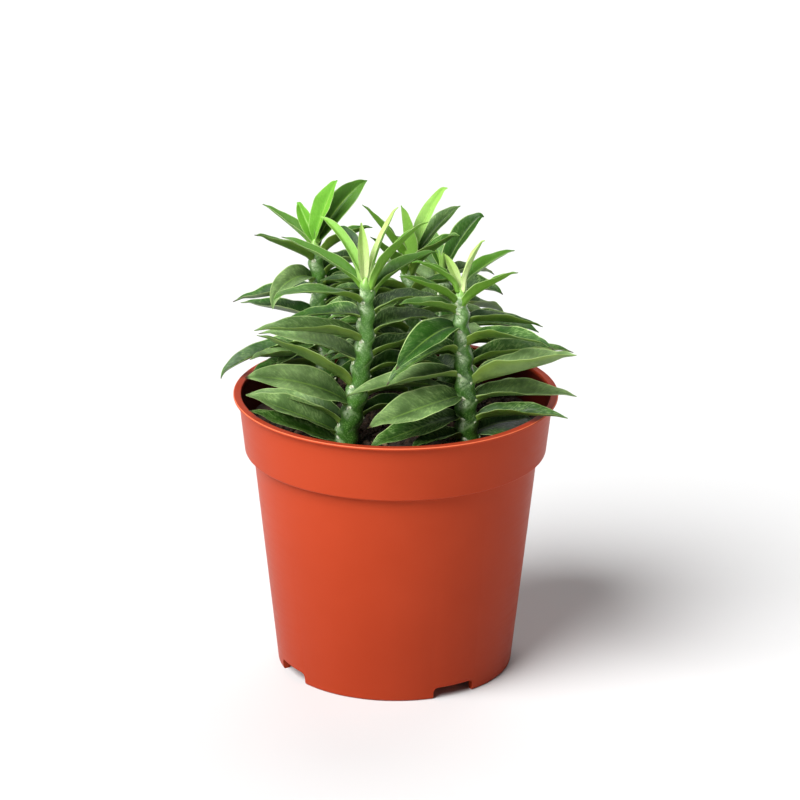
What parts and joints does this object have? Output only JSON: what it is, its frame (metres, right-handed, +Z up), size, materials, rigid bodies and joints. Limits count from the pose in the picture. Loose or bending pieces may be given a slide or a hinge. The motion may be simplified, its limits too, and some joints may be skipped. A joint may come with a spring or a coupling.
{
  "type": "potted devils backbone",
  "caption": "Devil's backbone plant in a terracotta plastic nursery pot: upright leafy stems, each with two ranks of folded, wavy-edged leaves",
  "frame": {"origin": "on the pot's axis, in the plane that the pot's foot ring stands on", "axes": "+Z up along the pot's axis; the plant's pictured front faces -Y and its two ranks of leaves spread along X"},
  "size_m": [0.1181, 0.108, 0.1636],
  "materials": {
    "pot_plastic": "smooth moulded plastic, terracotta orange, softly glossy",
    "potting_soil": "dark brown crumbly potting mix",
    "foliage": "waxy green leaves and stems, paler and yellower at the growing tips"
  },
  "bodies": {
    "root": {"pot": "pot_plastic", "soil": "potting_soil", "stem_front_left": "foliage", "stem_front_right": "foliage", "stem_back_left": "foliage", "stem_back_centre": "foliage", "stem_back_right": "foliage"}
  },
  "joints": []
}
